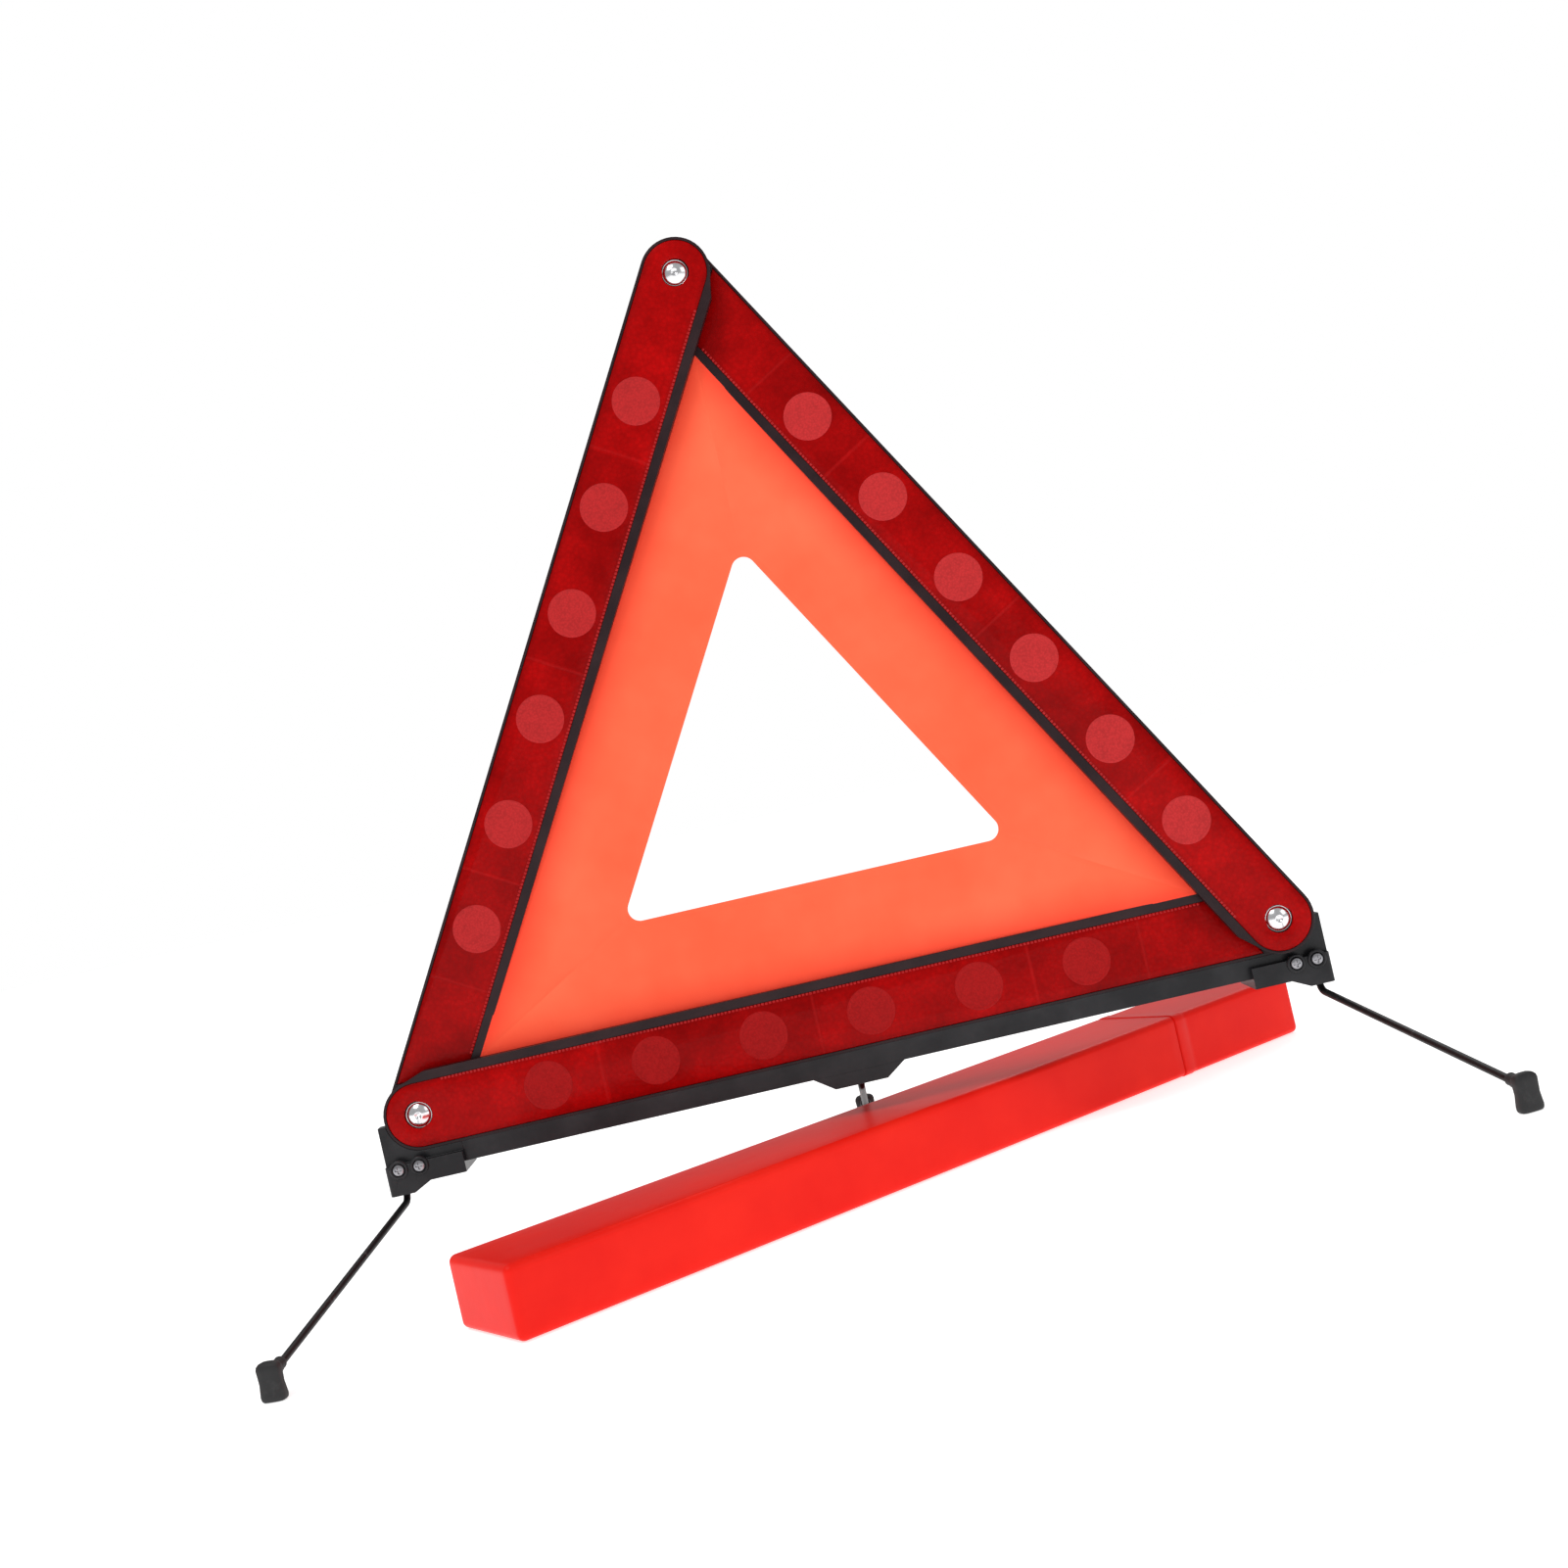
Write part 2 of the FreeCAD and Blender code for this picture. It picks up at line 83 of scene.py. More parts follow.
LOG = logging.getLogger("triangle")
Array = np.ndarray
Colour = tuple[float, float, float]
Point = tuple[float, float, float]
Piece = bpy.types.Object
Material = bpy.types.Material


class Arm(Enum):
    """The three arms: how many thirds of a turn each lies from the bottom one, its body and its joint."""

    BOTTOM = ("bottom", 0, "base", "left_arm_fold")
    RIGHT = ("right", 1, "right_arm", "right_arm_swing")
    LEFT = ("left", 2, "left_arm", "left_arm_fold")

    def __init__(self, label: str, thirds: int, body: str, joint: str) -> None:
        """Keep the row's values under their names."""
        self.label = label
        self.thirds = thirds
        self.body = body
        self.joint = joint


class Side(Enum):
    """The two ends of the base bar."""

    LEFT = "left"
    RIGHT = "right"


# ---- geometry


@dataclass(frozen=True)
class Place:
    """A place in the frame: an origin in metres and three unit axes as the rows of a matrix."""

    origin: Array
    axes: Array

    def points(self, local: Array) -> Array:
        """Local points in millimetres, carried into the frame in metres."""
        return self.origin + (np.asarray(local, float) * MM) @ self.axes

    def turned(self, thirds: int, centre: Array, normal: Array) -> Place:
        """This place after some thirds of a turn, clockwise from the front, about a centre."""
        turn = np.array(Matrix.Rotation(-thirds * math.tau / 3, 3, Vector(normal)))
        return Place(centre + turn @ (self.origin - centre), self.axes @ turn.T)


def along_axis(origin: Iterable[float], axis: Iterable[float]) -> Place:
    """A place whose local y axis is the given axis and whose z axis is as upright as it can be.

    Args:
        origin: the place's origin, in metres.
        axis: the direction of its y axis.

    Returns:
        The place.
    """
    y = np.array(Vector(axis).normalized())
    up = np.array([0.0, 0.0, 1.0]) if abs(y[2]) < 0.9 else np.array([0.0, -1.0, 0.0])
    x = np.cross(y, up)
    x /= np.linalg.norm(x)
    return Place(np.array(list(origin), float), np.array([x, y, np.cross(x, y)]))


class Solid:
    """Vertices and quads worked out as arrays, and the piece made of them."""

    def __init__(self) -> None:
        """Start without any points or faces."""
        self.points: list[Array] = []
        self.faces: list[Array] = []
        self.count = 0

    def loft(self, rings: Array, ring_of_rings: bool = False) -> Solid:
        """Join closed rings, each to the next, and turn the skin so that it faces outwards.

        Vertex j of ring i is joined to vertex j + 1 of the same ring and to vertex j of ring i + 1, both round
        their counts. The signed volume of the fan of tetrahedra from the origin tells which way the skin faces.

        Args:
            rings: points in metres, as rings by points by three.
            ring_of_rings: whether the last ring is joined to the first.

        Returns:
            This solid, for the next call.
        """
        high, wide = rings.shape[:2]
        i = np.arange(high if ring_of_rings else high - 1)[:, None]
        j = np.arange(wide)[None, :]
        after_i, after_j = (i + 1) % high, (j + 1) % wide
        quads = np.stack([i * wide + j, i * wide + after_j, after_i * wide + after_j, after_i * wide + j], -1)
        quads = quads.reshape(-1, 4)
        flat = rings.reshape(-1, 3)
        a, b, c, d = (flat[quads[:, k]] - flat.mean(0) for k in range(4))
        volume = (np.cross(b, c) * a).sum() + (np.cross(c, d) * a).sum()
        self.points.append(flat)
        self.faces.append((quads if volume > 0 else quads[:, ::-1]) + self.count)
        self.count += len(flat)
        return self

    def piece(self, name: str, sharp: float = 35.0) -> Piece:
        """The mesh object, with poles closed and smooth shading up to an angle in degrees."""
        mesh = bpy.data.meshes.new(name)
        mesh.from_pydata(np.vstack(self.points).tolist(), [], np.vstack(self.faces).tolist())
        weld(mesh)
        mesh.shade_smooth()
        mesh.set_sharp_from_angle(angle=math.radians(sharp))
        return placed(name, mesh)


def placed(name: str, data: Any) -> Piece:
    """A new object of this data, in the scene."""
    made = bpy.data.objects.new(name, data)
    bpy.context.scene.collection.objects.link(made)
    return made


def weld(mesh: bpy.types.Mesh, reach: float = 1e-6, flat: float = 0.0) -> None:
    """Merge doubled vertices, and drop empty faces or, given an angle in degrees, make flat regions whole."""
    work = bmesh.new()
    work.from_mesh(mesh)
    bmesh.ops.remove_doubles(work, verts=work.verts, dist=reach)
    if flat:
        bmesh.ops.dissolve_limit(work, angle_limit=math.radians(flat), verts=work.verts, edges=work.edges)
    else:
        bmesh.ops.dissolve_degenerate(work, edges=work.edges, dist=reach)
    work.to_mesh(mesh)
    work.free()


def turned_rings(place: Place, profile: Array, count: int = 48) -> Array:
    """Rings of a turned shape: each profile point (radius, depth) goes round the place's y axis."""
    angle = np.arange(count) / count * math.tau
    radius, depth = profile[:, :1], profile[:, 1:]
    local = np.stack([radius * np.cos(angle), depth + 0 * angle, radius * np.sin(angle)], -1)
    return place.points(local)


def rounded_box_ring(wide: float, high: float, radius: float, steps: int = 8, run: int = 6) -> Array:
    """A rectangle about the origin whose corners are quarter circles, as points (y, z) going round.

    Args:
        wide: its whole width along y.
        high: its whole height along z.
        radius: the corners' radius.
        steps: points to each corner.
        run: points to each straight side.

    Returns:
        The points, in the unit of the sizes.
    """
    turn = np.linspace(0, math.pi / 2, steps)
    parts = []
    for k, (sy, sz) in enumerate(((1, 1), (-1, 1), (-1, -1), (1, -1))):
        centre = np.array([sy * (wide / 2 - radius), sz * (high / 2 - radius)])
        angle = turn + k * math.pi / 2
        parts.append(centre + radius * np.stack([np.cos(angle), np.sin(angle)], -1))
    joined = []
    for k, part in enumerate(parts):
        ahead = parts[(k + 1) % 4][0]
        share = (np.arange(1, run) / run)[:, None]
        joined += [part, part[-1] + (ahead - part[-1]) * share]
    return np.vstack(joined)


def softened(node: str, width: float, angle: float = 28.0) -> Piece:
    """A welded copy of a CAD node with its flat faces whole and its edges rounded over.

    Args:
        node: the CAD node that the copy stands for.
        width: the rounding's width in millimetres; 0 leaves the edges alone.
        angle: an edge sharper than this is rounded, in degrees.

    Returns:
        The copy, riding where the node rides.
    """
    source = bpy.data.objects[node]
    mesh = source.data.copy()
    mesh.materials.clear()
    weld(mesh, 2e-6, 1.0)
    mesh.shade_smooth()
    mesh.set_sharp_from_angle(angle=math.radians(angle))
    made = placed(node + "_body", mesh)
    if width:
        bevel = made.modifiers.new("rounded_edges", "BEVEL")
        bevel.width = width * MM
        bevel.segments = 2
        bevel.limit_method = "ANGLE"
        bevel.angle_limit = math.radians(angle)
        bevel.harden_normals = True
    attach(made, source["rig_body"])
    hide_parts(node)
    return made


# ---- shader maths

Value = Union["Sock", float, Colour, tuple]


class Sock:
    """An output of a shader node. Arithmetic on it adds Math nodes."""

    def __init__(self, shader: Shader, socket: bpy.types.NodeSocket) -> None:
        """Wrap an output socket of this shader's tree."""
        self.shader = shader
        self.socket = socket

    def math(self, operation: str, *others: Value) -> Sock:
        """A Math node of this socket and the others, in that order."""
        return self.shader.math(operation, self, *others)

    def __add__(self, other: Value) -> Sock:
        """The sum."""
        return self.math("ADD", other)

    def __sub__(self, other: Value) -> Sock:
        """This less the other."""
        return self.math("SUBTRACT", other)

    def __rsub__(self, other: Value) -> Sock:
        """The other less this."""
        return self.shader.math("SUBTRACT", other, self)

    def __mul__(self, other: Value) -> Sock:
        """The product."""
        return self.math("MULTIPLY", other)

    def __truediv__(self, other: Value) -> Sock:
        """This over the other."""
        return self.math("DIVIDE", other)

    def __abs__(self) -> Sock:
        """The size without the sign."""
        return self.math("ABSOLUTE")

    __radd__ = __add__
    __rmul__ = __mul__

    def within(self, half: float, soft: float) -> Sock:
        """A mask of 1 where this value is within half of zero, falling to 0 over soft beyond that."""
        return ((half + soft - abs(self)) / soft).math("MINIMUM", 1.0).math("MAXIMUM", 0.0)

    def between(self, low: float, high: float) -> Sock:
        """This value as a share of the way from low to high, kept from 0 to 1."""
        return ((self - low) / (high - low)).math("MINIMUM", 1.0).math("MAXIMUM", 0.0)


class Shader:
    """A material under construction: one Principled shader and the nodes that feed it."""

    def __init__(self, name: str, place: Place | None = None) -> None:
        """Start a material on Object coordinates in millimetres, turned to a place if one is given."""
        self.material = bpy.data.materials.new(name)
        self.material.use_nodes = True
        self.tree = self.material.node_tree
        self.principled = self.tree.nodes["Principled BSDF"]
        self.at = self.node("TexCoord", {}, {}, "Object")
        values: dict[Any, Any] = {"Vector": self.at, "Scale": (1 / MM,) * 3}
        if place is not None:
            values["Location"] = tuple(-(place.axes @ place.origin) / MM)
            values["Rotation"] = Matrix(place.axes.tolist()).to_euler()
        self.at = self.node("Mapping", {"vector_type": "POINT"}, values)

    def node(self, kind: str, settings: dict[str, Any], values: dict[Any, Any], output: Any = 0) -> Sock:
        """One node: its settings first, then the values or links of its sockets.

        Args:
            kind: the node's type, without the ShaderNode that starts it.
            settings: its properties; stops holds the (position, colour) pairs of sharp bands.
            values: socket name or number to a value or a link.
            output: the output to give back.

        Returns:
            That output.
        """
        made = self.tree.nodes.new("ShaderNode" + kind)
        for key, value in settings.items():
            if key == "stops":
                for _ in value[2:]:
                    made.color_ramp.elements.new(1.0)
                for element, (spot, colour) in zip(made.color_ramp.elements, value):
                    element.position = spot
                    element.color = (*colour, 1.0)
                made.color_ramp.interpolation = "CONSTANT"
            else:
                setattr(made, key, value)
        for key, value in values.items():
            if isinstance(value, Sock):
                self.tree.links.new(value.socket, made.inputs[key])
            elif isinstance(value, tuple) and made.inputs[key].type == "RGBA":
                made.inputs[key].default_value = (*value, 1.0)
            else:
                made.inputs[key].default_value = value
        return Sock(self, made.outputs[output])

    def math(self, operation: str, *values: Value) -> Sock:
        """A Math node of up to three values."""
        return self.node("Math", {"operation": operation}, dict(enumerate(values)))

    def axis(self, name: str) -> Sock:
        """One local coordinate in millimetres: X along, Y through and Z across."""
        return self.node("SeparateXYZ", {}, {"Vector": self.at}, name)

    def noise(self, size: float, detail: float = 3.0, roughness: float = 0.5) -> Sock:
        """Cloudy noise from 0 to 1 whose blotches are about size millimetres across."""
        values = {"Vector": self.at, "Scale": 1 / size, "Detail": detail, "Roughness": roughness}
        return self.node("TexNoise", {}, values, "Fac")

    def cells(self, size: float) -> Sock:
        """Distance to the nearest cell's middle, for cells of about size millimetres."""
        return self.node("TexVoronoi", {}, {"Vector": self.at, "Scale": 1 / size}, "Distance")

    def bands(self, value: Value, stops: list[tuple[float, Colour]]) -> Sock:
        """A colour picked from bands that change sharply at their stops."""
        return self.node("ValToRGB", {"stops": stops}, {"Fac": value})

    def mix(self, share: Value, first: Value, second: Value, blend: str = "MIX") -> Sock:
        """A mix of two colours."""
        return self.node("Mix", {"data_type": "RGBA", "blend_type": blend}, {0: share, 6: first, 7: second}, 2)

    def bump(self, height: Value, depth: float, under: Sock | None = None) -> Sock:
        """A normal bent by a height of 0 to 1 that stands for depth millimetres."""
        values = {"Height": height, "Distance": depth * MM, "Strength": 1.0}
        if under is not None:
            values["Normal"] = under
        return self.node("Bump", {}, values)

    def finish(self, **inputs: Value) -> Material:
        """Set or link the Principled shader's inputs, named with _ for each space, and give the material."""
        for key, value in inputs.items():
            socket = self.principled.inputs[key.replace("_", " ")]
            if isinstance(value, Sock):
                self.tree.links.new(value.socket, socket)
            elif isinstance(value, tuple):
                socket.default_value = (*value, 1.0)
            else:
                socket.default_value = value
        return self.material


# ---- finishes


@dataclass(frozen=True)
class BlackMoulding:
    """Moulded black ABS: a gloss that fine ripples break up, with paler rubbed patches."""

    name: str
    colour: Colour = (0.009, 0.009, 0.011)
    rubbed: Colour = (0.028, 0.028, 0.031)
    gloss: float = 0.3
    grain: float = 0.02

    def make(self) -> Material:
        """The material."""
        shader = Shader(self.name)
        cloud = shader.noise(24.0, 4.0, 0.6)
        speck = shader.noise(0.9, 2.0)
        tone = shader.mix(cloud.between(0.42, 0.75), self.colour, self.rubbed)
        rough = self.gloss + cloud * 0.12 + speck * 0.08
        normal = shader.bump(shader.noise(0.55, 3.0), self.grain)
        return shader.finish(Base_Color=tone, Roughness=rough, Normal=shader.bump(cloud, 0.15, normal),
                             Specular_IOR_Level=0.28)


@dataclass(frozen=True)
class ReflectorRed:
    """Clear red acrylic over prisms: blocks of slightly different tone, faint seams, a fine cell relief and painted
    shade along its long edges.
    """

    name: str
    place: Place
    seams: tuple[float, ...] = (85.0, 184.0, 283.0, 334.0)
    span: float = 395.0

    def make(self) -> Material:
        """The material."""
        shader = Shader(self.name, self.place)
        along, across = shader.axis("X"), shader.axis("Z")
        cloud = shader.noise(26.0, 5.0, 0.62)
        deep, bright = (0.25, 0.0004, 0.0006), (0.5, 0.002, 0.0024)
        tone = shader.mix(cloud.between(0.3, 0.72), deep, bright)
        tones = (0.62, 0.4, 0.56, 0.34, 0.5)
        starts = (0.0,) + tuple(s / self.span for s in self.seams)
        stops = [(start, (level,) * 3) for start, level in zip(starts, tones)]
        block = shader.bands(along / self.span, stops)
        tone = shader.mix(0.35, tone, block, "OVERLAY")
        cell = shader.cells(1.9)
        tone = shader.mix(cell.between(0.15, 0.75) * 0.3, tone, (0.16, 0.0004, 0.0006))
        line = (along - self.seams[0]).within(0.2, 0.7)
        for seam in self.seams[1:]:
            line = line + (along - seam).within(0.2, 0.7)
        tone = shader.mix(line * 0.16, tone, (0.62, 0.02, 0.02))
        # Painted shade: the strip is painted darker along its long edges, where it meets the frame.
        edge = abs(across).between(11.5, 14.4)
        tone = shader.mix(edge * 0.4, tone, (0.13, 0.0004, 0.0008))
        relief = shader.bump(cell, 0.05)
        relief = shader.bump(line, 0.06, relief)
        rough = 0.2 + cloud * 0.12
        return shader.finish(Base_Color=tone, Roughness=rough, Normal=shader.bump(cloud, 0.3, relief),
                             Specular_IOR_Level=0.07)


@dataclass(frozen=True)
class ReflexDisc:
    """A moulded prism disc: red, painted paler by how brightly it catches the lamps, with tiny cells that scatter
    light.
    """

    name: str
    place: Place
    painted_light: float

    def make(self) -> Material:
        """The material; its last argument is painted light: how brightly the discs catch the lamps, from 0, as dark
        as the strip, to 1.
        """
        shader = Shader(self.name, self.place)
        cell = shader.cells(0.95)
        cloud = shader.noise(9.0, 3.0)
        # Painted light: the red runs from dark to pale with how brightly the discs are painted as catching the lamps.
        dark, pale = (0.4, 0.0016, 0.002), (0.62, 0.034, 0.036)
        base = tuple(a + (b - a) * self.painted_light for a, b in zip(dark, pale))
        lower = tuple(0.72 * c for c in base)
        tone = shader.mix(cell.between(0.2, 0.8) * 0.7 + cloud.between(0.4, 0.8) * 0.3, base, lower)
        return shader.finish(Base_Color=tone, Roughness=0.3 + cell * 0.2, Normal=shader.bump(cell, 0.05),
                             Specular_IOR_Level=0.12)


@dataclass(frozen=True)
class FluorescentCloth:
    """Coated woven cloth, fluorescent orange, with a painted glow and a painted red reflection of the arm that makes
    it redder where it meets the arm.
    """

    name: str
    place: Place
    depth: float

    def make(self) -> Material:
        """The material; depth is how far the cloth reaches from its arm."""
        shader = Shader(self.name, self.place)
        across, along = shader.axis("Z"), shader.axis("X")
        inward = across.between(0.0, self.depth)
        cloud = shader.noise(48.0, 3.0, 0.55)
        mid, warm, red = (0.97, 0.125, 0.052), (0.98, 0.16, 0.072), (0.95, 0.035, 0.018)
        tone = shader.mix(cloud.between(0.35, 0.7), mid, warm)
        # Painted reflection: red is mixed in near the arm, standing for the red arm's light reflected on the cloth.
        near = (1.0 - inward.between(0.0, 0.42)).math("POWER", 1.6)
        tone = shader.mix(near * 0.75, tone, red)
        weft = (across * (math.tau / 0.62)).math("SINE")
        warp = (along * (math.tau / 0.62)).math("SINE")
        weave = weft * warp * 0.5 + 0.5
        tone = shader.mix(weave * 0.12, tone, (0.7, 0.06, 0.02))
        normal = shader.bump(weave, 0.035)
        # Painted glow: the emission makes the cloth glow as if it were a lamp, standing in for its fluorescence.
        return shader.finish(Base_Color=tone, Roughness=0.56 + weave * 0.14, Normal=shader.bump(cloud, 0.5, normal),
                             Emission_Color=tone, Emission_Strength=0.14, Sheen_Weight=0.05,
                             Specular_IOR_Level=0.15)


@dataclass(frozen=True)
class BrightMetal:
    """Plated steel with a fine grain and a little haze."""

    name: str
    colour: Colour = (0.86, 0.86, 0.88)
    gloss: float = 0.12

    def make(self) -> Material:
        """The material."""
        shader = Shader(self.name)
        haze = shader.noise(1.6, 4.0, 0.6)
        tone = shader.mix(haze.between(0.4, 0.75) * 0.35, self.colour, (0.42, 0.42, 0.45))
        return shader.finish(Base_Color=tone, Metallic=1.0, Roughness=self.gloss + haze * 0.14,
                             Normal=shader.bump(shader.noise(0.25, 2.0), 0.006))


@dataclass(frozen=True)
class Worn:
    """A dark matt finish, rubbed paler and to another roughness in patches, with a fine grain."""

    name: str
    dark: Colour
    pale: Colour
    patch: tuple[float, float, float]
    edges: tuple[float, float]
    share: float
    rough: tuple[float, float]
    grain: tuple[float, float, float]
    metallic: float = 0.0

    def make(self) -> Material:
        """The material; patch and grain hold a noise's values, the grain's last one being its depth."""
        shader = Shader(self.name)
        worn = shader.noise(*self.patch).between(*self.edges)
        size, detail, depth = self.grain
        return shader.finish(Base_Color=shader.mix(worn * self.share, self.dark, self.pale), Metallic=self.metallic,
                             Roughness=self.rough[0] + worn * self.rough[1],
                             Normal=shader.bump(shader.noise(size, detail), depth))


WIRE = Worn("phosphated_wire", (0.012, 0.012, 0.013), (0.2, 0.2, 0.21), (7.0, 5.0, 0.7), (0.6, 0.78), 0.5,
            (0.46, -0.12), (0.4, 3.0, 0.015), 0.6)
RUBBER = Worn("foot_rubber", (0.011, 0.011, 0.012), (0.06, 0.06, 0.06), (5.0, 5.0, 0.65), (0.55, 0.8), 0.6,
              (0.62, 0.2), (0.45, 3.0, 0.04))
NYLON = Worn("nylon", (0.03, 0.03, 0.032), (0.06, 0.06, 0.062), (3.0, 3.0, 0.5), (0.0, 1.0), 1.0,
             (0.45, 0.1), (0.6, 2.0, 0.01))


@dataclass(frozen=True)
class CaseRed:
    """Satin red polypropylene: flow marks along the moulding, a fine grain and a few rubbed streaks."""

    name: str
    place: Place

    def make(self) -> Material:
        """The material."""
        shader = Shader(self.name, self.place)
        flow = shader.noise(60.0, 4.0, 0.6)
        streak = shader.noise(11.0, 6.0, 0.7).between(0.6, 0.85)
        tone = shader.mix(flow.between(0.3, 0.7), (0.86, 0.009, 0.005), (0.97, 0.02, 0.009))
        tone = shader.mix(streak * 0.08, tone, (1.0, 0.1, 0.06))
        grain = shader.bump(shader.noise(0.7, 3.0), 0.02)
        return shader.finish(Base_Color=tone, Roughness=0.3 + flow * 0.1 + streak * 0.1,
                             Normal=shader.bump(flow, 0.35, grain), Specular_IOR_Level=0.12)


def dress(piece: Piece, material: Material) -> None:
    """Give a piece or a CAD node its material."""
    piece.data.materials.clear()
    piece.data.materials.append(material)
    LOG.info("%s: %s", piece.name, material.name)


def fit(piece: Piece, body: str, material: Material, node: str = "") -> None:
    """Put a new piece on its body, let it stand for a CAD node if one is named, and dress it."""
    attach(piece, body)
    if node:
        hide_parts(node)
    dress(piece, material)


# ---- the triangle


@dataclass(frozen=True)
class Ring:
    """The three arms' places, worked out from the bottom arm's box in the frame."""

    outer_edge: float = 15.7
    arm_gap: float = 1.6

    @cached_property
    def box(self) -> tuple[Array, Array]:
        """The bottom arm frame's corners, in millimetres."""
        low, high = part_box("bottom_arm_frame")
        return np.array(low) / MM, np.array(high) / MM

    @cached_property
    def span(self) -> float:
        """Rivet to rivet."""
        low, high = self.box
        return high[0] - low[0] - 2 * self.outer_edge

    @cached_property
    def height(self) -> float:
        """The lower rivets above the ground."""
        return self.box[0][2] + self.outer_edge

    @cached_property
    def thick(self) -> float:
        """The arm's thickness."""
        low, high = self.box
        return high[1] - low[1]

    @cached_property
    def inradius(self) -> float:
        """The rivet triangle's inscribed circle."""
        return self.span / (2 * math.sqrt(3))

    @cached_property
    def normal(self) -> Array:
        """The mean plane's rearward normal: it leans by the angle whose sine is one arm step over the span."""
        lean = math.asin((self.thick + self.arm_gap) / self.span)
        return np.array([math.sin(lean), math.cos(lean), 0.0])

    @cached_property
    def centre(self) -> Array:
        """The triangle's centre, in metres."""
        return np.array([0.0, 0.0, self.height + self.inradius]) * MM

    def arm(self, arm: Arm) -> Place:
        """An arm's place: x from its front rivet to its rear one, y to the rear, z to the inside."""
        bottom = Place(np.array([-self.span / 2, 0.0, self.height]) * MM, np.eye(3))
        return bottom.turned(arm.thirds, self.centre, self.normal)

    def panel(self, arm: Arm) -> Place:
        """The cloth's place by an arm: in the mean plane, under the centre, x along the arm, z to the inside."""
        x = np.array([self.normal[1], -self.normal[0], 0.0])
        middle = Place(self.centre, np.array([x, self.normal, [0.0, 0.0, 1.0]]))
        return middle.turned(arm.thirds, self.centre, self.normal)

    def corner(self, front: Arm, back: Arm) -> Array:
        """The middle of the gap where one arm's near end covers another's far end, in metres."""
        near = self.arm(front).points(np.zeros(3))
        far = self.arm(back).points(np.array([self.span, 0.0, 0.0]))
        return (near + far) / 2


